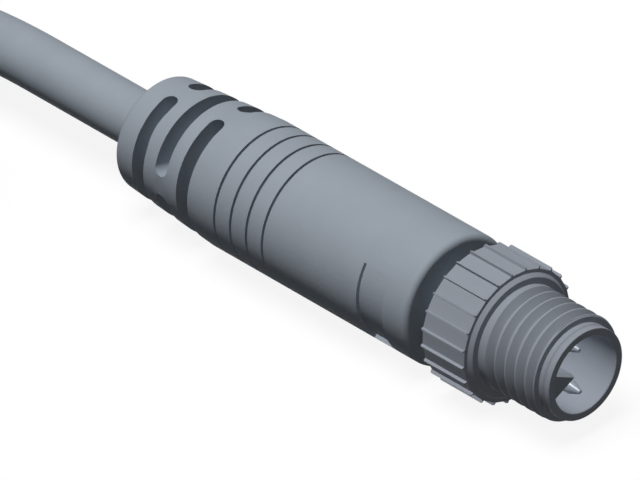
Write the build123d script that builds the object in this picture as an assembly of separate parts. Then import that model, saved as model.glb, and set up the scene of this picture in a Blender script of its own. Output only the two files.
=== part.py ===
from build123d import *
import os
from math import cos, pi, radians, sin, tan

# Straight moulded cable plug with a screw coupling: a two-pin male insert with a V-shaped key,
# an M8 x 1 coupling nut that turns on it, and a slotted grip moulded over the cable's end.
# Millimetres. X runs along the mating axis and points out of the socket, and Z is up.
# The plug lies on a surface at Z = 0, and X = 0 is the middle of its length.
# A station is a distance behind the rim of the socket, measured along the mating axis.

# Coupling nut, from the rim backwards
socket_r = 2.9
mouth_edge = 0.05
collar_r = 3.48
collar_length = 1.0
collar_line_station = 0.54
collar_line_width = 0.26
collar_line_depth = 0.1
thread_r = 4.0
thread_edge = 0.04
thread_length = 4.9
thread_end_length = 0.61
ring_front_r = 4.5
ring_r = 4.72
ring_length = 0.315
knurl_length = 4.175
knurl_flat_r = 5.05
knurl_rib_r = 5.26
knurl_rib_width = 0.32
knurl_rib_count = 24
knurl_turn = 3.7
nut_edge = 0.12
lip_length = 2.4
running_clearance = 0.05

# Insert that carries the pins
neck_r = 2.5
flange_length = 1.9
anchor_r = 3.5
anchor_length = 1.2
anchor_cover = 1.2
barrel_r = 2.9
barrel_length = 2.2
key_apex_y = -0.31
key_angle = 54.0
key_apex_round = 0.38
key_front = 0.275
key_edge_size = 0.22
key_edge_length = 0.3

# Pins
pin_r = 0.5
pin_tip_r = 0.15
pin_cone_length = 0.9
pin_front = 0.56
pin_offset = 1.72
pin_fit = 0.01
cup_r = 0.68
cup_length = 3.0
cup_depth = 2.2
cup_fit = 0.03

# Grip, moulded over the insert and the end of the cable
nut_travel = 1.8
plug_length = 43.05
grip_r = 5.0
grip_front_round = 0.45
grip_rear_r = 4.31
grip_rear_round = 0.4
taper_length = 9.35
groove_station = 27.23
groove_pitch = 1.62
groove_count = 4
groove_width = 0.23
groove_depth = 0.4
slot_station = 35.58
slot_pitch = 2.45
slot_rows = 3
slot_width = 1.26
slot_web_angle = 18.0
slot_floor_wall = 1.0
panel_station = 15.1
panel_length = 2.6
panel_depth = 0.3
panel_start_angle = 55.0
panel_end_angle = 138.0

# First moulding inside the grip, which seals the solder joints
inner_mould_r = 3.65
inner_mould_length = 19.1
cable_bite = 3.0

# Cable, its two cores and their copper
cable_r = 2.1
core_r = 0.65
core_offset = 0.72
conductor_r = 0.36
bare_length = 2.4
lead_end_length = 6.0

# Coil of the length that is put away, and the straps that hold it
coil_outer_turn_r = 24.8
coil_inner_turn_r = 17.8
coil_layers = 4
turn_pitch = 4.3
strap_thickness = 0.4
strap_width = 5.0
strap_angles = (20.0, 200.0)

# Places that follow from the sizes above
rim_x = plug_length / 2
rib_step = 360 / knurl_rib_count
lowest_rib_angle = (180 - knurl_turn) % rib_step
lowest_rib_angle = min(lowest_rib_angle, rib_step - lowest_rib_angle)
axis_z = knurl_rib_r * cos(radians(lowest_rib_angle))
ring_station = collar_length + thread_length + thread_end_length
knurl_station = ring_station + ring_length
nut_length = knurl_station + knurl_length
lip_station = nut_length - lip_length
lip_bore_r = neck_r + running_clearance
flange_r = socket_r - running_clearance
flange_back = lip_station - running_clearance
socket_depth = flange_back - flange_length
grip_station = nut_length + nut_travel
anchor_station = grip_station + anchor_cover
barrel_station = anchor_station + anchor_length
cup_station = barrel_station + barrel_length
cup_back = cup_station + cup_length
core_station = cup_back - cup_depth + bare_length
inner_mould_back = barrel_station + inner_mould_length
cable_station = inner_mould_back - cable_bite
coil_floor_z = strap_thickness
coil_cable_z = coil_floor_z + cable_r
coil_top_z = coil_cable_z + (coil_layers - 1) * turn_pitch

# The cable's route, chosen by hand: straight out of the grip, down to the floor, round to the coil
cable_route = [
    (rim_x - cable_station, 0.0, axis_z),
    (-40.0, 0.0, axis_z),
    (-52.0, 0.0, coil_cable_z),
    (-58.0, 0.0, coil_cable_z),
]
coil_centre = (-58.0, -24.8)
# The tail's route: off the top of the coil, down to the floor and on to the free end
tail_route = [
    (-58.0, -49.6, coil_top_z),
    (-46.5, -49.6, coil_top_z - 0.4),
    (-27.0, -49.3, 2.2),
    (-17.0, -50.0, cable_r),
]
# The two leads' routes, from the cut jacket to where the copper is bared
lead_routes = [
    [(-16.85, -49.3, 2.1), (-7.0, -47.9, 1.7), (3.0, -44.9, 0.7), (14.0, -44.0, core_r)],
    [(-16.85, -50.7, 2.1), (-7.0, -51.4, 1.8), (3.0, -50.6, 0.7), (13.5, -51.3, core_r)],
]


def section(station, y=0.0, z=0.0):
    """Plane across the mating axis, whose own x and y are the part's Y and Z."""
    return Plane(origin=(-station, y, z), x_dir=(0, 1, 0), z_dir=(1, 0, 0))


def turned(*profile):
    """Solid turned about the mating axis from (station, radius) points."""
    outline = Polyline(*[(-station, radius) for station, radius in profile], close=True)
    return revolve(make_face(outline), Axis.X)


def rod(radius, start, end, y=0.0, z=0.0):
    """Round rod along the mating axis between two stations."""
    return extrude(section(start, y, z) * Circle(radius), start - end)


def ring_cut(start, end, floor_r):
    """Cutter for everything outside a radius, between two stations."""
    clear_r = grip_r + 1
    return turned((start, floor_r), (end, floor_r), (end, clear_r), (start, clear_r))


def ring_sector(start, end, floor_r, first_angle, last_angle):
    """The same cutter over an arc, with angles from the top towards -Y."""
    clear_r = grip_r + 1
    corners = [(-start, floor_r), (-end, floor_r), (-end, clear_r), (-start, clear_r)]
    arc = revolve(make_face(Polyline(*corners, close=True)), Axis.X, last_angle - first_angle)
    return Rot(first_angle + 90, 0, 0) * arc


def around(angle, radius):
    """The (y, z) place at an angle from the top towards -Y."""
    return (-radius * sin(radians(angle)), radius * cos(radians(angle)))


def placed(shape):
    """The shape moved from the mating axis to where the plug lies."""
    return Pos(rim_x, 0, axis_z) * shape


def knurl_outline():
    """Closed outline of the nut's grip: flats that meet in small pointed ribs."""
    foot_angle = knurl_rib_width / 2 / knurl_flat_r * 180 / pi
    foot_r = knurl_flat_r / cos(radians(rib_step / 2 - foot_angle))
    points = []
    for index in range(knurl_rib_count):
        angle = knurl_turn + index * rib_step
        points.append(around(angle - foot_angle, foot_r))
        points.append(around(angle, knurl_rib_r))
        points.append(around(angle + foot_angle, foot_r))
    return Polyline(*points, close=True)


def nut_knurl():
    """Knurled band of the nut, with the ends of its ribs taken off at an angle."""
    band = extrude(section(knurl_station) * make_face(knurl_outline()), -knurl_length)
    low_r = knurl_rib_r - nut_edge
    return band & turned(
        (knurl_station, 0),
        (knurl_station, low_r),
        (knurl_station + nut_edge, knurl_rib_r),
        (nut_length - nut_edge, knurl_rib_r),
        (nut_length, low_r),
        (nut_length, 0),
    )


def coupling_nut():
    """Turned nut: lead-in collar, thread with a plain end, sloping ring and knurl, and a lip inside."""
    line_front = collar_line_station - collar_line_width / 2
    front = turned(
        (0, 0),
        (0, collar_r),
        (line_front, collar_r),
        (collar_line_station, collar_r - collar_line_depth),
        (line_front + collar_line_width, collar_r),
        (collar_length, collar_r),
        (collar_length, thread_r - thread_edge),
        (collar_length + thread_edge, thread_r),
        (ring_station, thread_r),
        (ring_station, ring_front_r),
        (knurl_station, ring_r),
        (knurl_station, 0),
    )
    socket = turned(
        (0, 0),
        (0, socket_r + mouth_edge),
        (mouth_edge, socket_r),
        (lip_station, socket_r),
        (lip_station, lip_bore_r),
        (nut_length, lip_bore_r),
        (nut_length, 0),
    )
    return front + nut_knurl() - socket


def key_wedge(station, shrink=0.0):
    """Section of the key: a V that points at the axis, with its sides drawn in by a little."""
    half_angle = radians(key_angle / 2)
    apex_y = key_apex_y - shrink / sin(half_angle)
    back_y = -2 * flange_r
    half_width = (apex_y - back_y) * tan(half_angle)
    corners = [(apex_y, 0), (back_y, half_width), (back_y, -half_width)]
    return section(station) * make_face(Polyline(*corners, close=True))


def key():
    """V-shaped key on the socket's wall, with a round crest and a lead-in at its front."""
    prism = extrude(key_wedge(key_front), key_front - flange_back)
    crest = prism.edges().filter_by(Axis.X).sort_by(Axis.Y)[-1]
    prism = fillet(crest, key_apex_round)
    edge_back = key_front + key_edge_length
    lead_in = loft([key_wedge(key_front, key_edge_size), key_wedge(edge_back)])
    key_form = (prism & lead_in) + (prism & rod(2 * flange_r, edge_back, flange_back))
    return key_form & rod(flange_r, key_front, flange_back)


def insert_outline():
    """The insert's turned form: flange, neck, anchor collar and rear barrel."""
    return turned(
        (socket_depth, 0),
        (socket_depth, flange_r),
        (flange_back, flange_r),
        (flange_back, neck_r),
        (anchor_station, neck_r),
        (anchor_station, anchor_r),
        (barrel_station, anchor_r),
        (barrel_station, barrel_r),
        (cup_station, barrel_r),
        (cup_station, 0),
    )


def pin_places():
    """(y, z) of each pin's axis."""
    return [(0, pin_offset), (0, -pin_offset)]


def contact_insert():
    """Plastic insert: the turned form, the key, and a hole for each pin."""
    body = insert_outline() + key()
    for y, z in pin_places():
        body -= rod(pin_r + pin_fit, socket_depth, cup_station, y, z)
    return body


def contact_pin(y, z):
    """Turned pin: cone, shank, and a solder cup that seats on the insert's back."""
    cone_back = pin_front + pin_cone_length
    pin = turned(
        (pin_front, 0),
        (pin_front, pin_tip_r),
        (cone_back, pin_r),
        (cup_station, pin_r),
        (cup_station, cup_r),
        (cup_back, cup_r),
        (cup_back, 0),
    )
    pin -= rod(conductor_r + cup_fit, cup_back - cup_depth, cup_back)
    return Pos(0, y, z) * pin


def conductor(y, z):
    """Bared copper of a core, soldered into its pin's cup."""
    return rod(conductor_r, cup_back - cup_depth, core_station, y, z)


def core(y, z, end_z):
    """Insulated core that leads from its pin to the cut end of the cable."""
    front = section(core_station, y, z) * Circle(core_r)
    back = section(cable_station, 0, end_z) * Circle(core_r)
    return loft([front, back])


def cores():
    """Each core with its pin's place and its own place in the cable's end."""
    return [core(y, z, core_offset if z > 0 else -core_offset) for y, z in pin_places()]


def inner_mould():
    """First moulding, round the insert's barrel, the solder joints, the cores and the cable."""
    body = rod(inner_mould_r, barrel_station, inner_mould_back)
    held = [insert_outline(), rod(cable_r, cable_station, inner_mould_back)] + cores()
    for y, z in pin_places():
        held.append(rod(cup_r, cup_station, cup_back, y, z))
        held.append(conductor(y, z))
    for solid in held:
        body -= solid
    return body


def grip_blank():
    """Grip's outer form: a round bar with a tapered rear and rounded ends."""
    blank = turned(
        (grip_station, 0),
        (grip_station, grip_r),
        (plug_length - taper_length, grip_r),
        (plug_length, grip_rear_r),
        (plug_length, 0),
    )
    rims = blank.edges().filter_by(GeomType.CIRCLE).sort_by(Axis.X)
    blank = fillet(rims[-1], grip_front_round)
    rims = blank.edges().filter_by(GeomType.CIRCLE).sort_by(Axis.X)
    return fillet(rims[0], grip_rear_round)


def slot_cut(station, middle_angle):
    """Cutter for one round-ended slot that reaches most of the way round one side."""
    half_width = slot_width / 2
    floor_r = cable_r + slot_floor_wall
    end_angle = 90 - slot_web_angle / 2 - half_width / grip_rear_r * 180 / pi
    first_angle = middle_angle - end_angle
    last_angle = middle_angle + end_angle
    front = station - half_width
    cut = ring_sector(front, front + slot_width, floor_r, first_angle, last_angle)
    for angle in (first_angle, last_angle):
        end = Pos(-station, 0, floor_r) * extrude(Circle(half_width), grip_r + 1 - floor_r)
        cut += Rot(angle, 0, 0) * end
    return cut


def strain_relief_cuts():
    """Rows of paired slots, each row turned a quarter against the one before."""
    cuts = []
    for row in range(slot_rows):
        station = slot_station + row * slot_pitch
        first = 90 if row % 2 == 0 else 0
        cuts.append(slot_cut(station, first))
        cuts.append(slot_cut(station, first + 180))
    return cuts


def overmould_grip():
    """Grip moulded over everything behind the nut: grooves, slots and a bare sunk panel."""
    body = grip_blank()
    for index in range(groove_count):
        front = groove_station + index * groove_pitch - groove_width / 2
        body -= ring_cut(front, front + groove_width, grip_r - groove_depth)
    for cut in strain_relief_cuts():
        body -= cut
    body -= ring_sector(
        panel_station,
        panel_station + panel_length,
        grip_r - panel_depth,
        panel_start_angle,
        panel_end_angle,
    )
    body -= insert_outline()
    body -= rod(inner_mould_r, barrel_station, inner_mould_back)
    return body - rod(cable_r, inner_mould_back, plug_length)


def round_run(name, route, radius):
    """Round rod along a route of straight runs that are joined by the largest arcs they allow."""
    points = [Vector(*point) for point in route]
    runs = [second - first for first, second in zip(points, points[1:])]
    radii = []
    for before, after in zip(runs, runs[1:]):
        half_turn = radians(before.get_angle(after)) / 2
        radii.append(0.45 * min(before.length, after.length) / tan(half_turn))
    path = FilletPolyline(*points, radius=radii)
    start = Plane(origin=points[0], z_dir=runs[0])
    solid = sweep(start * Circle(radius), path=path)
    share = solid.volume / (pi * radius**2 * path.length)
    print(name, "arc radii", [round(value, 1) for value in radii])
    print(name, "length", round(path.length, 1), "volume over section times length", round(share, 4))
    return solid


def coil_section(grow=0.0):
    """Rounded outline of the wound turns, across the coil, in radius and height."""
    inner = coil_inner_turn_r - cable_r - grow
    outer = coil_outer_turn_r + cable_r + grow
    height = (coil_layers - 1) * turn_pitch + 2 * (cable_r + grow)
    middle = ((inner + outer) / 2, coil_floor_z - grow + height / 2)
    return Pos(*middle) * RectangleRounded(outer - inner, height, cable_r * 0.95 + grow)


def cable_coil():
    """Outer form of the coil of cable that is put away."""
    ring = revolve(Plane.XZ * coil_section(), Axis.Z)
    return Pos(*coil_centre, 0) * ring


def coil_strap(angle):
    """Flat strap drawn round the coil's turns."""
    band = coil_section(strap_thickness) - coil_section()
    spread = 2 * strap_width / (coil_inner_turn_r + coil_outer_turn_r) * 180 / pi
    strap = revolve(Plane.XZ * band, Axis.Z, spread)
    return Pos(*coil_centre, 0) * Rot(0, 0, angle - spread / 2) * strap


def lead_end(route):
    """Bared and tinned end of a lead, in line with the lead's last run."""
    end = Vector(*route[-1])
    along = end - Vector(*route[-2])
    flat = Vector(along.X, along.Y, 0)
    start = Plane(origin=end, z_dir=flat)
    return extrude(start * Circle(conductor_r), lead_end_length)


def all_parts():
    """Every node of the plug and its cable, by name."""
    parts = {
        "overmould_grip": placed(overmould_grip()),
        "inner_mould": placed(inner_mould()),
        "contact_insert": placed(contact_insert()),
        "coupling_nut": placed(coupling_nut()),
        "cable_lead": round_run("cable_lead", cable_route, cable_r),
        "cable_coil": cable_coil(),
        "cable_tail": round_run("cable_tail", tail_route, cable_r),
    }
    for index, (y, z) in enumerate(pin_places(), 1):
        parts[f"contact_pin_{index}"] = placed(contact_pin(y, z))
        parts[f"conductor_{index}"] = placed(conductor(y, z))
        parts[f"core_{index}"] = placed(cores()[index - 1])
    for index, angle in enumerate(strap_angles, 1):
        parts[f"coil_strap_{index}"] = coil_strap(angle)
    for index, route in enumerate(lead_routes, 1):
        parts[f"lead_{index}"] = round_run(f"lead_{index}", route, core_r)
        parts[f"lead_end_{index}"] = lead_end(route)
    return parts


os.makedirs("parts", exist_ok=True)
for name, solid in all_parts().items():
    export_step(solid, f"parts/{name}.step")
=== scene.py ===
# %% [markdown]
# # A moulded cable plug with a coupling nut, step by step
#
# The object is a small straight cable plug: a soft moulded grip, a turned nut with a screw thread that
# turns on a plastic insert, two pins, and a thin round cable that is kept as a coil. This script loads the
# CAD model as a fixed frame and dresses it: camera, light, cables, materials and the meshes that need more
# detail than the solids carry, such as the thread.

# %% Load the frame
from math import cos, pi, radians, sin, sqrt

import bmesh
import bpy
from mathutils import Matrix, Vector


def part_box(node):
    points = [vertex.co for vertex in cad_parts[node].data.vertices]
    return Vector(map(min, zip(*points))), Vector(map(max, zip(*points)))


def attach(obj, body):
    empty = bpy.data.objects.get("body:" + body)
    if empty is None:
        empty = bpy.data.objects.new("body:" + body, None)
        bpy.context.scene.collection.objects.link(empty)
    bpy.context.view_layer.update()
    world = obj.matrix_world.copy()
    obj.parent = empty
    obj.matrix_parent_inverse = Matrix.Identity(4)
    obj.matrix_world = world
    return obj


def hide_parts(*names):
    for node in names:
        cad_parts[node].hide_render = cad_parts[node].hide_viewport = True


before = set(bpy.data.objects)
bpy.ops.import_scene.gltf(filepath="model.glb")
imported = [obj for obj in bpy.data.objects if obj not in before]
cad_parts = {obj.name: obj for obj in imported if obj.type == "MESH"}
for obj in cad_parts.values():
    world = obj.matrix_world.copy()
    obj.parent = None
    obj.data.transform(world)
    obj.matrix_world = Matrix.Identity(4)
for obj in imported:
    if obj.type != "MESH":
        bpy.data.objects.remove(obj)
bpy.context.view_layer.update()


# %% [markdown]
# Blender works in metres here, and the plug is easier to think about in millimetres, so lengths are
# written in millimetres and multiplied by MM. Places on the plug are given as stations, which are
# distances behind the rim of the socket. The rim and the height of the mating axis are read from the
# frame.

# %% Measure the frame
MM = 0.001
nut_low, nut_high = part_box("coupling_nut")
mould_low, mould_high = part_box("inner_mould")
rim_x = nut_high.x / MM
axis_z = (mould_low.z + mould_high.z) / 2 / MM
print("rim at x", round(rim_x, 3), "mm, axis at height", round(axis_z, 3), "mm")

# %% [markdown]
# The photograph has no vanishing point: parallel edges stay parallel. A very long lens far away gives the
# same picture, and other views of the scene can still move the camera. The direction to the viewer and
# the slope at which the mating axis is drawn fix how the camera is turned. The axis is drawn 29.72
# degrees below the horizontal, which needs a slight roll, so the camera's own axes are built from that
# slope. The middle of the picture lies on the grip, a little below the axis.

# %% Place the camera
to_viewer = Vector((0.62, -0.5587, 0.5509)).normalized()
axis_slope = radians(29.72)
middle_station = 25.96
below_axis = 1.010
picture_width = 44.3 * MM
lens = 1250.0

along = Vector((1, 0, 0)) - to_viewer.x * to_viewer
along.normalize()
right = along * cos(axis_slope) + to_viewer.cross(along) * sin(axis_slope)
up = to_viewer.cross(right)

middle_of_picture = Vector((rim_x - middle_station, 0, axis_z)) * MM
middle_of_picture -= (right * sin(axis_slope) + up * cos(axis_slope)) * below_axis * MM

camera_data = bpy.data.cameras.new("camera")
camera_data.lens = lens
camera_data.sensor_width = 36.0
distance = picture_width * lens / camera_data.sensor_width
camera_data.clip_start = distance * 0.1
camera_data.clip_end = distance * 3
camera = bpy.data.objects.new("camera", camera_data)
turn = Matrix((right, up, to_viewer)).transposed().to_4x4()
camera.matrix_world = Matrix.Translation(middle_of_picture + to_viewer * distance) @ turn
bpy.context.scene.collection.objects.link(camera)
bpy.context.scene.camera = camera
print("camera distance", round(distance, 3), "m")

# %% [markdown]
# A cable bends in smooth curves, so it is drawn as one NURBS line of order 3 with a round bevel. The
# order is set after the points are added, because a spline with too few points falls back to straight
# runs. The cord's radius is given to the points and the bevel is left at one metre, because Blender adds
# the points' radius to the curve's box, and a point starts with a radius of one metre.

# %% Cord maker
def nurbs_cord(name, points, diameter):
    """A round cord along control points in millimetres."""
    curve = bpy.data.curves.new(name, "CURVE")
    curve.dimensions = "3D"
    curve.bevel_depth = 1.0
    curve.bevel_resolution = 10
    curve.resolution_u = 12
    curve.use_fill_caps = True
    spline = curve.splines.new("NURBS")
    spline.points.add(len(points) - 1)
    for point, place in zip(spline.points, points):
        point.co = (*(value * MM for value in place), 1)
        point.radius = diameter / 2 * MM
    spline.order_u = 3
    spline.use_endpoint_u = True
    cord = bpy.data.objects.new(name, curve)
    bpy.context.scene.collection.objects.link(cord)
    return cord

# %% [markdown]
# The picture shows only the first centimetre or so of the cable. The rest of a one metre lead is put away
# as a neat round coil, just outside the picture. The cable arrives on the outside of the lowest layer and
# winds inwards, climbs one thickness, winds outwards, and so on for four layers, so the even count lets
# it leave on the outside again. The coil lies on the straps that hold it, so its lowest layer starts one
# strap up.

# %% Measure the coil
cable_d = 4.2
strap_thickness = 0.4
turn_pitch = 4.3
coil_centre = (-58.0, -24.8)
outer_turn_r = 24.8
inner_turn_r = 17.8
layer_count = 4
lowest_z = strap_thickness + cable_d / 2
turn_count = 6.5
entry_angle = 90
leave_angle = entry_angle + turn_count * 360
layer_angle = (leave_angle - entry_angle) / layer_count
print("each layer takes", layer_angle, "degrees")

# %% [markdown]
# A coil is a loop of points round a centre. The radius runs from the outer turn to the inner one and back
# in a zigzag that turns in the middle of each climb, which keeps every turn a full thickness away from
# its neighbours. The climbs are eased in and out, so that the cable never kinks.

# %% Wind the coil
climb_angle = 90
points_per_turn = 16


def eased(share):
    """A smooth rise from 0 to 1."""
    share = min(max(share, 0), 1)
    return share * share * (3 - 2 * share)


def coil_place(angle):
    """Control point of the cable's line at an angle in degrees along the winding."""
    along_layers = (angle - entry_angle) / layer_angle
    inwards = 1 - abs(1 - along_layers % 2)
    radius = outer_turn_r + inwards * (inner_turn_r - outer_turn_r)
    climbs = [
        eased((angle - entry_angle - layer * layer_angle) / climb_angle + 0.5)
        for layer in range(1, layer_count)
    ]
    # A quadratic line cuts inside its control points by this share.
    control_r = radius / (0.75 + 0.25 * cos(2 * pi / points_per_turn))
    return (
        coil_centre[0] + control_r * cos(radians(angle)),
        coil_centre[1] + control_r * sin(radians(angle)),
        lowest_z + turn_pitch * sum(climbs),
    )


step = 360 / points_per_turn
step_count = round((leave_angle - entry_angle) / step)
coil_points = [coil_place(entry_angle + step * index) for index in range(1, step_count)]
print("points in the coil", len(coil_points))

# %% [markdown]
# The whole cable is one line: straight out of the grip as the picture shows, down to the surface, round
# the coil, and off the top of it to the free end, where the jacket is cut back. It follows the route that
# the CAD model has for the same cable, so it leaves the grip and meets the floor in the same places.

# %% Lay the cable
cable_route = [
    (rim_x - 31.3, 0.0, axis_z),
    (-27.6, 0.0, axis_z),
    (-40.0, 0.0, axis_z),
    (-52.0, 0.0, lowest_z),
    (-58.0, 0.0, lowest_z),
]
tail_route = [
    (-58.0, -49.6, 15.4),
    (-46.5, -49.6, 15.0),
    (-27.0, -49.3, 2.2),
    (-17.0, -50.0, 2.1),
]
cable = nurbs_cord("cable", cable_route + coil_points + tail_route, cable_d)
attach(cable, "plug")
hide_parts("cable_lead", "cable_coil", "cable_tail")
print("cord", cable.name, "points", len(cable.data.splines[0].points))

# %% [markdown]
# At the free end the two cores come out of the jacket as flying leads. Each is a thin cord of its own
# that spreads a little from its neighbour and comes to lie on the surface.

# %% Lay the two leads
lead_d = 1.3
lead_routes = [
    [(-16.85, -49.3, 2.1), (-7.0, -47.9, 1.7), (3.0, -44.9, 0.7), (14.0, -44.0, 0.65)],
    [(-16.85, -50.7, 2.1), (-7.0, -51.4, 1.8), (3.0, -50.6, 0.7), (13.5, -51.3, 0.65)],
]
leads = []
for number, (route, slot) in enumerate(zip(lead_routes, ("core_brown", "core_blue")), 1):
    lead = nurbs_cord(f"flying_lead_{number}", route, lead_d)
    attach(lead, "plug")
    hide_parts(f"lead_{number}")
    leads.append(lead)
print("leads", [lead.name for lead in leads])

# %% [markdown]
# The nut is turned metal with a screw thread, which the CAD model leaves as a plain cylinder. Here it is
# built again as one closed skin: a profile of (station, radius) rows is carried round the axis in
# columns. The columns are not spread evenly. Each of the 24 ribs of the knurl gets the same 11 columns,
# with one on each edge of its crest and one at each foot, so that the ribs come out sharp.

# %% Place the nut's columns
rib_count = 24
rib_step = 360 / rib_count
rib_turn = 3.7
rib_crest = 0.55
rib_foot = 0.95
flat_columns = (2.5, 4.2, 5.9, 7.5, 9.1, 10.8, 12.5)
rib_columns = (-rib_foot, -rib_crest, rib_crest, rib_foot, *flat_columns)
column_angles = [
    (rib_turn + rib * rib_step + offset) % 360 for rib in range(rib_count) for offset in rib_columns
]
column_angles.sort()
print("columns", len(column_angles))

# %% [markdown]
# Between the ribs the knurl is flat, as the picture shows, and not round. A flat that is a set distance
# from the axis lies further out the nearer it comes to a rib, by one over the cosine of the angle from
# its middle.

# %% Shape the knurl
flat_r = 5.0
rib_r = 5.26


def knurl_r(angle):
    """Radius of the knurl at an angle: flats that meet in small steep ribs."""
    from_rib = (angle - rib_turn) % rib_step
    from_rib = min(from_rib, rib_step - from_rib)
    foot_r = flat_r / cos(radians(rib_step / 2 - rib_foot))
    if from_rib < rib_foot:
        down_flank = max(from_rib - rib_crest, 0) / (rib_foot - rib_crest)
        return rib_r + (foot_r - rib_r) * down_flank
    return flat_r / cos(radians(rib_step / 2 - from_rib))


print("knurl radius, mm:", round(knurl_r(rib_turn + rib_step / 2), 2), "to", knurl_r(rib_turn))

# %% [markdown]
# The thread is the usual 60 degree form with a pitch of 1 mm: a narrow flat crest, straight sides and a
# round root. The screw line is right-handed, so the thread comes nearer to the rim as the angle grows
# from the top towards -Y. The last groove grows shallow and stops on the far side, as a cutting tool
# leaves it.

# %% Shape the thread
pitch = 1.0
thread_r = 4.0
groove_depth = 0.613
crest_half = pitch / 16
root_half = pitch / 8
root_r = 0.144
crest_line = 0.086
land_end = 1.1
thread_end = 6.5
last_groove = 6
runout_angle = 200
runout_length = 90


def groove_profile(share):
    """Depth of the thread's form at a share of the pitch from the middle of a crest."""
    share = min(share, 1 - share) * pitch
    from_root = pitch / 2 - share
    if share < crest_half:
        return 0
    if from_root < root_half:
        return groove_depth - root_r + sqrt(root_r**2 - from_root**2)
    return (share - crest_half) * sqrt(3)


def thread_radius(station, angle):
    """Radius of the threaded part at a station and an angle."""
    turns = (station - crest_line) / pitch + angle / 360
    groove = int(turns // 1)
    depth = groove_profile(turns % 1)
    if groove == last_groove:
        depth *= eased((angle - runout_angle) / runout_length)
    if groove > last_groove:
        depth = 0
    return thread_r - depth


print("root radius, mm:", round(thread_r - groove_profile(0.5), 3))

# %% [markdown]
# The thread's rows are sheared along the screw line, so that each row stays on one part of the form all
# the way round. Straight sides need no rows of their own, so the rows stand on the edges of the crest and
# crowd together in the round root, which is the same on both its sides.

# %% Space the thread's rows
root_shares = (0.36, 0.375, 0.40, 0.43, 0.465)
row_shares = (-crest_half, crest_half, *root_shares, 0.5, *(1 - share for share in reversed(root_shares)))
crest_turns = range(1, last_groove + 2)
row_lines = sorted(crest_line + turn + share for turn in crest_turns for share in row_shares)
print("rows of the thread", len(row_lines))

# %% [markdown]
# The rest of the profile is plain turning. It runs from the rim over the collar, with its fine line, and
# the thread to the ring and the knurl, and comes back through the bore. Every outer corner has a fine
# bevel, as a lathe leaves it, because a bevel is what catches the light.

# %% Write the front of the nut's profile
rim_edge = 0.03
collar_r = 3.48
collar_length = 1.0
line_station = 0.54
line_half_width = 0.11
line_depth = 0.11
land_r = 3.95
front_rows = [
    (0, collar_r - rim_edge),
    (rim_edge, collar_r),
    (line_station - line_half_width, collar_r),
    (line_station, collar_r - line_depth),
    (line_station + line_half_width, collar_r),
    (collar_length, collar_r),
    (collar_length, land_r - 0.05),
    (collar_length + 0.04, land_r),
    (land_end, land_r),
]
print("rows in front of the thread", len(front_rows))

# %% [markdown]
# Behind the thread a radius may be a number or a function of the angle, because the knurl isn't round. At
# both ends of the knurl the ribs are taken off at an angle, so that they don't cut the fingers.

# %% Write the back of the nut's profile
ring_station = 6.51
ring_front_r = 4.47
ring_r = 4.72
knurl_front = 6.825
nut_length = 11.0
rib_end_r = 5.18
rib_end_length = 0.12
fine_edge = 0.03
lip_front = 8.6
lip_bore_r = 2.55
socket_r = 2.9
bore_edge = 0.05


def rib_end(rise):
    """Radius of the knurl near an end, where its ribs are taken off at an angle."""
    return lambda angle: min(knurl_r(angle), rib_end_r + rise) - max(fine_edge - rise, 0)


back_rows = [
    (ring_station, thread_r),
    (ring_station, ring_front_r),
    (ring_station + 0.02, ring_front_r + 0.04),
    (knurl_front - 0.025, ring_r - 0.02),
    (knurl_front, ring_r),
    (knurl_front, rib_end(0)),
    (knurl_front + fine_edge, rib_end(fine_edge)),
    (knurl_front + rib_end_length, knurl_r),
    (nut_length - rib_end_length, knurl_r),
    (nut_length - fine_edge, rib_end(fine_edge)),
    (nut_length, rib_end(0)),
    (nut_length, lip_bore_r + bore_edge),
    (nut_length - bore_edge, lip_bore_r),
    (lip_front, lip_bore_r),
    (lip_front, socket_r),
    (bore_edge, socket_r),
    (0, socket_r + bore_edge),
]
print("rows behind the thread", len(back_rows))

# %% [markdown]
# The skin is a list of rows, each with one (station, radius) point for every column. A plain row keeps
# its station. A thread row follows its screw line, and is held where that line runs past an end of the
# thread.

# %% Lay out the nut's skin
def plain_points(station, radius):
    """A row's point in each column."""
    return [(station, radius(angle) if callable(radius) else radius) for angle in column_angles]


def thread_points(line):
    """A thread row's point in each column, on its screw line."""
    points = []
    for angle in column_angles:
        station = min(max(line - pitch * angle / 360, land_end), thread_end)
        points.append((station, thread_radius(station, angle)))
    return points


skin = [plain_points(*row) for row in front_rows]
first_thread_row = len(skin)
skin += [thread_points(line) for line in row_lines]
last_thread_row = len(skin) - 1
skin += [plain_points(*row) for row in back_rows]
print("rows of the skin", len(skin))

# %% [markdown]
# Stations and radii become real points here. Angles are counted from the top towards -Y, and stations run
# backwards from the rim, so the nut is built round its own origin at the middle of the rim.

# %% Place the skin's points
nut_mesh = bmesh.new()
nut_verts = []
for row in skin:
    ring = []
    for (station, radius), angle in zip(row, column_angles):
        turned_by = radians(angle)
        place = (-station * MM, -radius * sin(turned_by) * MM, radius * cos(turned_by) * MM)
        ring.append(nut_mesh.verts.new(place))
    nut_verts.append(ring)
print("points of the skin", len(nut_mesh.verts))

# %% [markdown]
# Where the columns meet again after a full turn, a thread row has moved by one pitch, so it joins the row
# one pitch before it. Points that were held at an end of the thread lie on each other, and are merged. A
# skin without open edges can be printed or weighed like the solid that it replaces.

# %% Join the skin
merge_distance = 0.0005 * MM


def across_seam(row):
    """The row that a row joins after a full turn."""
    if first_thread_row <= row <= last_thread_row:
        return max(row - len(row_shares), first_thread_row)
    return row


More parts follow.
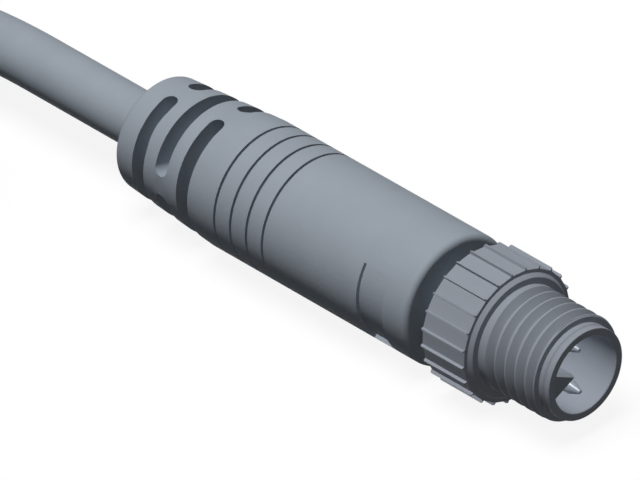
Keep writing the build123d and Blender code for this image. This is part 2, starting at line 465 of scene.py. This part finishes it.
column_count = len(column_angles)
for row in range(len(skin)):
    below = (row + 1) % len(skin)
    for column in range(column_count):
        beside = (column + 1) % column_count
        if beside:
            far_row, far_below = row, below
        else:
            far_row, far_below = across_seam(row), across_seam(below)
        # Where two rows meet at an end of the thread, a corner comes up twice and is kept once.
        nut_mesh.faces.new(dict.fromkeys((
            nut_verts[row][column],
            nut_verts[below][column],
            nut_verts[far_below][beside],
            nut_verts[far_row][beside],
        )))
bmesh.ops.remove_doubles(nut_mesh, verts=nut_mesh.verts, dist=merge_distance)
bmesh.ops.recalc_face_normals(nut_mesh, faces=nut_mesh.faces)
open_edges = sum(not edge.is_manifold for edge in nut_mesh.edges)
print("nut faces", len(nut_mesh.faces), "open edges", open_edges)

# %% [markdown]
# Every piece that is modelled here needs the same last steps: its mesh becomes an object, its faces are
# shaded smooth, and edges that turn sharply stay sharp. One helper does this, and lets the piece ride on
# its body. The nut's fine bevels need a smaller angle than the rest to stay crisp.

# %% Piece maker
def finish_piece(name, mesh, body, replaced, sharp_angle):
    """Turn a finished bmesh into a piece that rides on a body."""
    data = bpy.data.meshes.new(name)
    mesh.to_mesh(data)
    mesh.free()
    data.shade_smooth()
    data.set_sharp_from_angle(angle=radians(sharp_angle))
    piece = bpy.data.objects.new(name, data)
    bpy.context.scene.collection.objects.link(piece)
    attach(piece, body)
    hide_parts(replaced)
    return piece


nut = finish_piece("threaded_nut", nut_mesh, "nut", "coupling_nut", sharp_angle=22)
nut.location = (rim_x * MM, 0, axis_z * MM)
print("nut polygons", len(nut.data.polygons))

# %% [markdown]
# Two flat straps hold the coil. A strap is a woven band that is drawn once round the turns, with its end
# lying over its start. Cloth simulation would only find the same shape, because the band is tight
# everywhere, so its path is written directly: the coil's outline is a rectangle with round corners, and
# the path follows it at a given distance outside.

# %% Follow the outline of the coil
strap_width = 5.0
cable_r = cable_d / 2
corner_r = cable_r * 0.95
core_half_width = (outer_turn_r - inner_turn_r) / 2 + cable_r - corner_r
core_half_height = (layer_count - 1) * turn_pitch / 2 + cable_r - corner_r
outline_r = (outer_turn_r + inner_turn_r) / 2
outline_z = strap_thickness + core_half_height + corner_r
outline_corners = ((-1, 1), (1, 1), (1, -1), (-1, -1))
outline_runs = (core_half_width * 2, core_half_height * 2) * 2
quarter_turn = (corner_r + strap_thickness / 2) * pi / 2
loop_length = sum(outline_runs) + 4 * quarter_turn
print("length once round the coil", round(loop_length, 1), "mm")


def outline_place(length, rise):
    """Place at a length round the coil's outline, rise outside it, as radius and height."""
    length %= loop_length
    side = 0
    while side < 3 and length > outline_runs[side] + quarter_turn:
        length -= outline_runs[side] + quarter_turn
        side += 1
    travelled = min(length, outline_runs[side])
    turned_by = -pi / 2 * (side + max(length - outline_runs[side], 0) / quarter_turn)
    corner = outline_corners[side]
    heading = -pi / 2 * side
    across = corner[0] * core_half_width + travelled * cos(heading) - (corner_r + rise) * sin(turned_by)
    upward = corner[1] * core_half_height + travelled * sin(heading) + (corner_r + rise) * cos(turned_by)
    return outline_r + across, outline_z + upward

# %% [markdown]
# The band is a closed ring of points that is swept along this path. Its selvedges are thinner than its
# middle, as on real webbing, so each column of the ring has a share of the width and a share of the
# thickness. The two ends of the band are cut round, and the end that lies on top rises just enough to
# clear the start.

# %% Shape the band
overlap = 13.0
step_up = 2.0
step_clearance = 0.03
blunt_end = 0.02
band_columns = ((-1, 0.5), (-0.9, 1), (-0.45, 1), (0, 1), (0.45, 1), (0.9, 1), (1, 0.5))
band_length = loop_length + overlap
print("length of a strap", round(band_length, 1), "mm")


def band_narrowing(length):
    """Share of the full width at a length along the band, less than 1 only in its round ends."""
    from_end = min(length, band_length - length)
    return sqrt(max(1 - (1 - min(from_end / strap_width * 2, 1)) ** 2, blunt_end))


def band_middle(length):
    """Height of the band's middle above the coil at a length along the band."""
    lifted = eased((length - loop_length + step_up) / step_up)
    return strap_thickness / 2 + (strap_thickness + step_clearance) * lifted

# %% [markdown]
# A band and a bundle of strands are both a row of rings. Joining each ring to the next with four-sided
# faces, and closing the two ends with one face each, makes a closed skin of either.

# %% Skin closer
def close_skin(mesh, rings):
    """Join rings of points into a closed skin with a flat face at each end."""
    for ring, following in zip(rings, rings[1:]):
        for index in range(len(ring)):
            beside = (index + 1) % len(ring)
            mesh.faces.new((ring[index], ring[beside], following[beside], following[index]))
    mesh.faces.new(rings[0][::-1])
    mesh.faces.new(rings[-1])
    bmesh.ops.recalc_face_normals(mesh, faces=mesh.faces)

# %% [markdown]
# The band starts just past a corner of the outline. Each of its points also keeps its place on the flat
# band, in millimetres, so that a weave can follow the band round the coil. The two straps stand on
# opposite sides of the coil.

# %% Make the straps
strap_start = 1.2
row_spacing = 0.4
strap_angles = (20, 200)


def make_strap(name, angle):
    """A webbing band drawn round the coil at an angle, with its end on top of its start."""
    row_count = round(band_length / row_spacing)
    mesh = bmesh.new()
    band = mesh.verts.layers.float_vector.new("band_place")
    rings = []
    for index in range(row_count + 1):
        length = band_length * index / row_count
        half_width = band_narrowing(length) * strap_width / 2
        ring = []
        for outer in (-1, 1):
            for share, fullness in band_columns[::outer]:
                rise = band_middle(length) + outer * fullness * strap_thickness / 2
                radius, height = outline_place(strap_start + length, rise)
                turned_by = radians(angle) + share * half_width / outline_r
                vert = mesh.verts.new((
                    (coil_centre[0] + radius * cos(turned_by)) * MM,
                    (coil_centre[1] + radius * sin(turned_by)) * MM,
                    max(height, 0) * MM,
                ))
                vert[band] = (length, share * strap_width / 2, 0)
                ring.append(vert)
        rings.append(ring)
    close_skin(mesh, rings)
    return finish_piece(f"webbing_{name}", mesh, "plug", name, sharp_angle=50)


straps = [make_strap(f"coil_strap_{number}", angle) for number, angle in enumerate(strap_angles, 1)]
print("strap polygons", [len(strap.data.polygons) for strap in straps])

# %% [markdown]
# The bare end of a lead is a bundle of fine strands, twisted and dipped in tin, so the tin fills the gaps
# between the outer six. A ring of points whose radius swells six times on its way round gives that
# outline, and turning each ring a little further than the last gives the twist. The tip is rounded off.

# %% Shape the tinned strands
tinned_r = 0.36
tinned_length = 6.0
strand_count = 6
valley_depth = 0.14
twist_turns = 1.6
tip_length = 0.25
tip_depth = 0.45


def tinned_radius(share, angle):
    """Radius of the twisted strands at a share of their length and an angle in radians."""
    from_tip = min((1 - share) * tinned_length / tip_length, 1)
    rounding = 1 - tip_depth + tip_depth * sqrt(1 - (1 - from_tip) ** 2)
    strand = abs(cos((angle - 2 * pi * twist_turns * share) * strand_count / 2))
    return tinned_r * (1 - valley_depth + valley_depth * sqrt(strand)) * rounding


print("radius between the strands, mm:", round(tinned_r * (1 - valley_depth), 2))

# %% [markdown]
# The strands go straight on from the end of their lead. They stay level, so that they lie just above the
# surface and never dip into it.

# %% Make the tinned ends
ring_points = 48
ring_rows = 60


def make_tinned_end(number, route):
    """Twisted and tinned strands that go on from the end of a lead."""
    end = Vector(route[-1])
    heading = end - Vector(route[-2])
    heading.z = 0
    heading.normalize()
    beside = Vector((0, 0, 1)).cross(heading)
    mesh = bmesh.new()
    rings = []
    for row in range(ring_rows + 1):
        share = row / ring_rows
        ring = []
        for point in range(ring_points):
            angle = 2 * pi * point / ring_points
            radius = tinned_radius(share, angle)
            place = end + heading * share * tinned_length
            place = place + beside * radius * cos(angle) + Vector((0, 0, radius * sin(angle)))
            ring.append(mesh.verts.new(place * MM))
        rings.append(ring)
    close_skin(mesh, rings)
    return finish_piece(f"tinned_end_{number}", mesh, "plug", f"lead_end_{number}", sharp_angle=50)


tinned_ends = [make_tinned_end(number, route) for number, route in enumerate(lead_routes, 1)]
print("tinned end polygons", [len(end.data.polygons) for end in tinned_ends])

# %% [markdown]
# Now the finishes. All shader work here is procedural: colours and heights come from noise and waves that
# are worked out at each point, so nothing depends on an image. A Math node is the most common brick, and
# a helper that takes numbers and sockets alike keeps the formulas short.

# %% Shader helpers
def math_node(tree, operation, first, second=0.0):
    """Result of a Math node; each of its inputs is a number or a socket."""
    node = tree.nodes.new("ShaderNodeMath")
    node.operation = operation
    for socket, value in zip(node.inputs, (first, second)):
        if isinstance(value, bpy.types.NodeSocket):
            tree.links.new(value, socket)
        else:
            socket.default_value = value
    return node.outputs[0]


def new_group(name, inputs, outputs):
    """An empty shader node group with named sockets, and its two ends."""
    group = bpy.data.node_groups.new(name, "ShaderNodeTree")
    for socket, kind in inputs.items():
        group.interface.new_socket(socket, in_out="INPUT", socket_type=kind)
    for socket, kind in outputs.items():
        group.interface.new_socket(socket, in_out="OUTPUT", socket_type=kind)
    start = group.nodes.new("NodeGroupInput")
    end = group.nodes.new("NodeGroupOutput")
    return group, start, end

# %% [markdown]
# Moulded plastic is never quite smooth. The mould's walls are spark-eroded, which prints a fine pebbled
# grain on the part, and the colour and the gloss drift a little over a few millimetres. The plastics here
# share this effect at different sizes, so it is a node group that is built once. It gives out a height
# for a bump and a tone for the colour.

# %% Group for moulded grain
coarse_factor = 0.45
moulded_grain, start, end = new_group(
    "moulded grain",
    {"Place": "NodeSocketVector", "Grain mm": "NodeSocketFloat", "Drift mm": "NodeSocketFloat"},
    {"Height": "NodeSocketFloat", "Tone": "NodeSocketFloat"},
)
fine = moulded_grain.nodes.new("ShaderNodeTexVoronoi")
fine.feature = "SMOOTH_F1"
coarse = moulded_grain.nodes.new("ShaderNodeTexNoise")
drift = moulded_grain.nodes.new("ShaderNodeTexNoise")
coarse.inputs["Detail"].default_value = 3
drift.inputs["Detail"].default_value = 2
layers = ((fine, "Grain mm", 1.0), (coarse, "Grain mm", coarse_factor), (drift, "Drift mm", 1.0))
for node, size, factor in layers:
    per_metre = math_node(moulded_grain, "DIVIDE", factor / MM, start.outputs[size])
    moulded_grain.links.new(per_metre, node.inputs["Scale"])
    moulded_grain.links.new(start.outputs["Place"], node.inputs["Vector"])
pebbles = math_node(moulded_grain, "SUBTRACT", 1.0, fine.outputs["Distance"])
height = math_node(moulded_grain, "MULTIPLY", pebbles, coarse.outputs[0])
moulded_grain.links.new(height, end.inputs["Height"])
moulded_grain.links.new(drift.outputs[0], end.inputs["Tone"])
print("group", moulded_grain.name, "nodes", len(moulded_grain.nodes))

# %% [markdown]
# Turned metal carries the path of the tool: rings so fine that they stretch the highlight, and not
# evenly deep. Noise in one dimension along the axis gives exactly that, because it is the same all the
# way round. The nut and the pins share this group. The plating over them has faint cloudy patches. The
# tone is the mean of the rings' height and these patches, so the colour is painted a little darker in the
# deeper rings, as shade.

# %% Group for turning marks
turning_marks, start, end = new_group(
    "turning marks",
    {"Place": "NodeSocketVector", "Line mm": "NodeSocketFloat", "Drift mm": "NodeSocketFloat"},
    {"Height": "NodeSocketFloat", "Tone": "NodeSocketFloat"},
)
along_axis = turning_marks.nodes.new("ShaderNodeSeparateXYZ")
turning_marks.links.new(start.outputs["Place"], along_axis.inputs[0])
lines = turning_marks.nodes.new("ShaderNodeTexNoise")
lines.noise_dimensions = "1D"
lines.inputs["Detail"].default_value = 2
lines_per_metre = math_node(turning_marks, "DIVIDE", 1 / MM, start.outputs["Line mm"])
line_place = math_node(turning_marks, "MULTIPLY", along_axis.outputs["X"], lines_per_metre)
turning_marks.links.new(line_place, lines.inputs["W"])
clouds = turning_marks.nodes.new("ShaderNodeTexNoise")
clouds.inputs["Detail"].default_value = 3
clouds_per_metre = math_node(turning_marks, "DIVIDE", 1 / MM, start.outputs["Drift mm"])
turning_marks.links.new(clouds_per_metre, clouds.inputs["Scale"])
turning_marks.links.new(start.outputs["Place"], clouds.inputs["Vector"])
turning_marks.links.new(lines.outputs[0], end.inputs["Height"])
# The rings' height also goes into the tone, which paints the deeper rings darker, as shade; the cloudy
# patches are the plating's own.
ring_shade_and_clouds = math_node(turning_marks, "ADD", lines.outputs[0], clouds.outputs[0])
tone = math_node(turning_marks, "MULTIPLY", ring_shade_and_clouds, 0.5)
turning_marks.links.new(tone, end.inputs["Tone"])
print("group", turning_marks.name, "nodes", len(turning_marks.nodes))

# %% [markdown]
# Every material ends the same way. A tone chooses between two near colours and moves the roughness a
# little, a height goes through a Bump node, and whatever is even all over, such as metal or no metal, is
# set on the shader's own sockets.

# %% Material maker
def object_place(tree):
    """Place on the object, in metres."""
    return tree.nodes.new("ShaderNodeTexCoord").outputs["Object"]


def new_material(name, metallic=0.0, specular=0.5):
    """A material with only its shader, which it returns too."""
    material = bpy.data.materials.new(name)
    material.use_nodes = True
    shader = material.node_tree.nodes["Principled BSDF"]
    shader.inputs["Metallic"].default_value = metallic
    shader.inputs["Specular IOR Level"].default_value = specular
    return material, shader


def dress(material, shader, tone, height, colour, contrast, roughness, bump_um):
    """Wire a tone and a height into a material's shader; the bump's depth is in micrometres."""
    tree = material.node_tree
    mix = tree.nodes.new("ShaderNodeMix")
    mix.data_type = "RGBA"
    tree.links.new(tone, mix.inputs["Factor"])
    for socket, change in (("A", 1 - contrast), ("B", 1 + contrast)):
        shade = (*(min(value * change, 1) for value in colour), 1)
        next(s for s in mix.inputs if s.name == socket and s.type == "RGBA").default_value = shade
    tree.links.new(next(s for s in mix.outputs if s.type == "RGBA"), shader.inputs["Base Color"])
    swing = math_node(tree, "MULTIPLY", math_node(tree, "SUBTRACT", tone, 0.5), contrast * 2)
    tree.links.new(math_node(tree, "ADD", swing, roughness), shader.inputs["Roughness"])
    bump = tree.nodes.new("ShaderNodeBump")
    bump.inputs["Strength"].default_value = 1.0
    bump.inputs["Distance"].default_value = bump_um * MM / 1000
    tree.links.new(height, bump.inputs["Height"])
    tree.links.new(bump.outputs["Normal"], shader.inputs["Normal"])
    return material


def grouped_material(name, group, sizes, finish, metallic=0.0, specular=0.5):
    """A material that takes its tone and height from a shared group."""
    material, shader = new_material(name, metallic, specular)
    tree = material.node_tree
    effect = tree.nodes.new("ShaderNodeGroup")
    effect.node_tree = group
    tree.links.new(object_place(tree), effect.inputs["Place"])
    for socket, size in sizes.items():
        effect.inputs[socket].default_value = size
    return dress(material, shader, effect.outputs["Tone"], effect.outputs["Height"], **finish)

# %% [markdown]
# The plastics. The grip and the cable's jacket are the same slate grey; the grip is a matte elastomer
# with a visible grain, and the jacket, which is extruded, is smoother. The moulding under the slots and
# the insert in the nut are harder plastics and a little darker. The cores of the flying leads are glossy.

# %% Plastics
grains_per_drift = 20


def plastic(name, colour, grain_mm, bump_um, roughness, contrast=0.04, specular=0.02):
    """A moulded or extruded plastic."""
    finish = {"colour": colour, "contrast": contrast, "roughness": roughness, "bump_um": bump_um}
    sizes = {"Grain mm": grain_mm, "Drift mm": grain_mm * grains_per_drift}
    return grouped_material(name, moulded_grain, sizes, finish, specular=specular)


slate = (0.33, 0.37, 0.42)
grip_plastic = plastic("slate grip elastomer", slate, 0.16, bump_um=14, roughness=0.62, contrast=0.06)
jacket_plastic = plastic("slate cable jacket", slate, 0.12, bump_um=7, roughness=0.55, contrast=0.06)
inner_plastic = plastic("dark inner moulding", (0.24, 0.27, 0.30), 0.12, bump_um=6, roughness=0.6)
insert_plastic = plastic("insert plastic", (0.30, 0.34, 0.385), 0.12, bump_um=5, roughness=0.55)
core_finish = {"grain_mm": 0.08, "bump_um": 3, "roughness": 0.38, "contrast": 0.06, "specular": 0.5}
brown_core = plastic("brown core insulation", (0.26, 0.13, 0.07), **core_finish)
blue_core = plastic("blue core insulation", (0.06, 0.17, 0.42), **core_finish)
print("plastics", grip_plastic.name, jacket_plastic.name, inner_plastic.name, insert_plastic.name)

# %% [markdown]
# The metals. The nut has a dull grey plating that mirrors nothing, so its shader has no metal in it, and
# only the turning marks and the cloudy patches say what it is. The pins are smoother and brighter, and a
# little metallic. The strands of the tinned ends are real geometry, so their tin only needs a fine
# unevenness.

# %% Metals
cloud_mm = 2.5


def turned_metal(name, colour, line_mm, bump_um, roughness, metallic, contrast):
    """A turned and plated metal."""
    finish = {"colour": colour, "contrast": contrast, "roughness": roughness, "bump_um": bump_um}
    sizes = {"Line mm": line_mm, "Drift mm": cloud_mm}
    return grouped_material(name, turning_marks, sizes, finish, metallic=metallic, specular=0.05)


nut_metal = turned_metal(
    "dull plated nut", (0.30, 0.325, 0.37), 0.05, bump_um=2.5, roughness=0.5, metallic=0.0, contrast=0.07
)
pin_metal = turned_metal(
    "bright plated pin", (0.36, 0.40, 0.45), 0.03, bump_um=0.6, roughness=0.35, metallic=0.15, contrast=0.05
)
tinned_finish = {"colour": (0.55, 0.56, 0.58), "contrast": 0.1, "roughness": 0.32, "bump_um": 8}
tinned_metal = grouped_material(
    "tinned strands", moulded_grain, {"Grain mm": 0.14, "Drift mm": 0.8}, tinned_finish, metallic=1.0
)
print("metals", nut_metal.name, pin_metal.name, tinned_metal.name)

# %% [markdown]
# The copper in the solder cups is stranded too, but it is hidden and thin, so its strands are only a
# bump: a wave that climbs round the axis as the strands do.

# %% Copper
strand_mm = 0.2
tarnish_mm = 0.5
copper_metal, copper_shader = new_material("stranded copper", metallic=1.0)
copper_tree = copper_metal.node_tree
copper_place = object_place(copper_tree)
copper_split = copper_tree.nodes.new("ShaderNodeSeparateXYZ")
copper_tree.links.new(copper_place, copper_split.inputs[0])
climb = math_node(copper_tree, "ADD", copper_split.outputs["X"], copper_split.outputs["Y"])
strand_wave = math_node(copper_tree, "MULTIPLY", climb, 2 * pi / (strand_mm * MM))
strand_backs = math_node(copper_tree, "ABSOLUTE", math_node(copper_tree, "SINE", strand_wave))
tarnish = copper_tree.nodes.new("ShaderNodeTexNoise")
tarnish.inputs["Scale"].default_value = 1 / (tarnish_mm * MM)
tarnish.inputs["Detail"].default_value = 2
copper_tree.links.new(copper_place, tarnish.inputs["Vector"])
dress(
    copper_metal, copper_shader, tarnish.outputs[0], strand_backs,
    colour=(0.72, 0.45, 0.28), contrast=0.08, roughness=0.35, bump_um=8,
)
print("copper strands every", strand_mm, "mm")

# %% [markdown]
# Webbing is a plain weave: threads along the band pass over and under threads across it. Two sine waves
# give the round backs of the threads, and a checker says which of them is on top. The place on the band
# was stored with the mesh, so the weave runs along the strap wherever it turns. The same height is also
# the tone, so the colour is painted darker in the hollows between the threads, as shade, and lighter on
# their backs.

# %% Webbing
thread_mm = 0.42
webbing, webbing_shader = new_material("black webbing", specular=0.2)
webbing_shader.inputs["Sheen Weight"].default_value = 0.15
webbing_tree = webbing.node_tree
band_place = webbing_tree.nodes.new("ShaderNodeAttribute")
band_place.attribute_name = "band_place"
band_split = webbing_tree.nodes.new("ShaderNodeSeparateXYZ")
webbing_tree.links.new(band_place.outputs["Vector"], band_split.inputs[0])
backs = []
for axis in ("X", "Y"):
    wave = math_node(webbing_tree, "MULTIPLY", band_split.outputs[axis], pi / thread_mm)
    backs.append(math_node(webbing_tree, "ABSOLUTE", math_node(webbing_tree, "SINE", wave)))
checker = webbing_tree.nodes.new("ShaderNodeTexChecker")
checker.inputs["Scale"].default_value = 1 / thread_mm
webbing_tree.links.new(band_place.outputs["Vector"], checker.inputs["Vector"])
over = webbing_tree.nodes.new("ShaderNodeMix")
webbing_tree.links.new(checker.outputs["Fac"], over.inputs["Factor"])
webbing_tree.links.new(backs[0], over.inputs[2])
webbing_tree.links.new(backs[1], over.inputs[3])
# The weave's height is also its tone: painted shade in the hollows between the threads, and lighter backs.
dress(
    webbing, webbing_shader, over.outputs[0], over.outputs[0],
    colour=(0.06, 0.065, 0.07), contrast=0.25, roughness=0.8, bump_um=60,
)
print("webbing threads across a strap", round(strap_width / thread_mm))

# %% [markdown]
# Each node of the frame that still shows keeps its CAD mesh and only gets a better material. Pieces that
# were made here get theirs in the same way.

# %% Put the materials on
finishes = {
    "overmould_grip": grip_plastic,
    "inner_mould": inner_plastic,
    "contact_insert": insert_plastic,
    "contact_pin_1": pin_metal,
    "contact_pin_2": pin_metal,
    "conductor_1": copper_metal,
    "conductor_2": copper_metal,
    "core_1": brown_core,
    "core_2": blue_core,
}
dressed = [(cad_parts[node], material) for node, material in finishes.items()]
dressed += [(nut, nut_metal), (cable, jacket_plastic)]
dressed += [(strap, webbing) for strap in straps]
dressed += [(end, tinned_metal) for end in tinned_ends]
dressed += list(zip(leads, (brown_core, blue_core)))
for piece, material in dressed:
    piece.data.materials.clear()
    piece.data.materials.append(material)
print("pieces with a finish", len(dressed))

# %% [markdown]
# The background is white without lighting anything: rays from the camera, and rays that shiny surfaces
# reflect, see a white world, and all other rays see a dim one. A mask made from the Light Path node tells
# the two kinds of ray apart.

# %% Light the background
def white_mask(tree):
    """1 for rays that should see the white background: camera, glossy and transmission rays."""
    path = tree.nodes.new("ShaderNodeLightPath")
    seen = math_node(tree, "MAXIMUM", path.outputs["Is Camera Ray"], path.outputs["Is Glossy Ray"])
    return math_node(tree, "MAXIMUM", seen, path.outputs["Is Transmission Ray"])


fill_strength = 0.05
fill_colour = (0.93, 0.97, 1.0, 1)
white = (1, 1, 1, 1)
world = bpy.data.worlds.new("studio")
world.use_nodes = True
bpy.context.scene.world = world
world_tree = world.node_tree
world_tree.nodes.clear()
world_mix = world_tree.nodes.new("ShaderNodeMixShader")
world_tree.links.new(white_mask(world_tree), world_mix.inputs[0])
for index, (colour, strength) in enumerate(((fill_colour, fill_strength), (white, 1.0)), 1):
    background = world_tree.nodes.new("ShaderNodeBackground")
    background.inputs["Color"].default_value = colour
    background.inputs["Strength"].default_value = strength
    world_tree.links.new(background.outputs[0], world_mix.inputs[index])
world_out = world_tree.nodes.new("ShaderNodeOutputWorld")
world_tree.links.new(world_mix.outputs[0], world_out.inputs[0])
print("world", world.name, "fill", fill_strength)

# %% [markdown]
# The light is one soft source above the plug, a little towards the viewer, with very little light from
# elsewhere, so the upper side is bright and the underside goes dark, as in a drawing of a product. It
# casts no shadows, so that it also reaches into the socket. A weak second light from the front lifts the
# faces that look along the plug, such as the walls of the slots.

# %% Hang the lamps
key_tilt = radians(15)
key_side = Vector((0, -sin(key_tilt), cos(key_tilt)))
key_strength = 2.75
front_side = Vector((0.75, -0.5, 0.43))
front_strength = 0.22


def sun_lamp(name, side, strength, softness, has_shadow):
    """A sun that shines from a side."""
    data = bpy.data.lights.new(name, "SUN")
    data.energy = strength
    data.angle = radians(softness)
    data.use_shadow = has_shadow
    lamp = bpy.data.objects.new(name, data)
    lamp.rotation_mode = "QUATERNION"
    lamp.rotation_quaternion = side.to_track_quat("Z", "Y")
    bpy.context.scene.collection.objects.link(lamp)
    return lamp


key = sun_lamp("key", key_side, key_strength, softness=8, has_shadow=False)
front = sun_lamp("front", front_side, front_strength, softness=20, has_shadow=False)
print("lamps", key.name, key_strength, front.name, front_strength)

# %% [markdown]
# The floor is a plain sheet under the plug. The key casts no shadow, so a second sun from the same side
# does it. Light linking makes it shine on the floor alone, so it lights nothing else.

# %% Lay the floor
floor_half = 3.0
floor_data = bpy.data.meshes.new("floor")
floor_corners = [(x * floor_half, y * floor_half, 0) for x, y in ((-1, -1), (1, -1), (1, 1), (-1, 1))]
floor_data.from_pydata(floor_corners, [], [(0, 1, 2, 3)])
floor = bpy.data.objects.new("floor", floor_data)
bpy.context.scene.collection.objects.link(floor)

floor_lamp = sun_lamp("floor key", key_side, key_strength, softness=35, has_shadow=True)
floor_receivers = bpy.data.collections.new("floor receivers")
floor_receivers.objects.link(floor)
floor_lamp.light_linking.receiver_collection = floor_receivers
print("floor lit by", floor_lamp.name)

# %% [markdown]
# The floor's material uses the same mask as the world. To the camera and to reflections it is white and
# keeps the plug's soft shadow: a glow and a thin share of real light add up to white where no shadow
# falls. To all other rays it is dark, so that it doesn't light the plug from below.

# %% Finish the floor
shadow_share = 0.12
dark_share = 0.03
floor_light = (2 * key_strength * key_side.z + front_strength * front_side.z) / pi + fill_strength

floor_material = bpy.data.materials.new("pale floor")
floor_material.use_nodes = True
floor_data.materials.append(floor_material)
floor_tree = floor_material.node_tree
floor_tree.nodes.clear()
dark = floor_tree.nodes.new("ShaderNodeBsdfDiffuse")
dark.inputs["Color"].default_value = (dark_share, dark_share, dark_share, 1)
lit = floor_tree.nodes.new("ShaderNodeBsdfDiffuse")
lit.inputs["Color"].default_value = (shadow_share, shadow_share, shadow_share, 1)
glow = floor_tree.nodes.new("ShaderNodeEmission")
glow.inputs["Strength"].default_value = 1.0 - shadow_share * floor_light
pale = floor_tree.nodes.new("ShaderNodeAddShader")
floor_tree.links.new(lit.outputs[0], pale.inputs[0])
floor_tree.links.new(glow.outputs[0], pale.inputs[1])
floor_mix = floor_tree.nodes.new("ShaderNodeMixShader")
floor_tree.links.new(white_mask(floor_tree), floor_mix.inputs[0])
floor_tree.links.new(dark.outputs[0], floor_mix.inputs[1])
floor_tree.links.new(pale.outputs[0], floor_mix.inputs[2])
floor_out = floor_tree.nodes.new("ShaderNodeOutputMaterial")
floor_tree.links.new(floor_mix.outputs[0], floor_out.inputs[0])
print("light on the open floor", round(floor_light, 2))

# %% [markdown]
# Last, the cords. The cable is a one metre lead, less what is inside the grip.

print("cords declared", 1 + len(leads))

# %% [markdown]
# The colours are shown as they are written, without a film look.

# %% Finish
bpy.context.scene.view_settings.view_transform = "Standard"
bpy.context.view_layer.update()
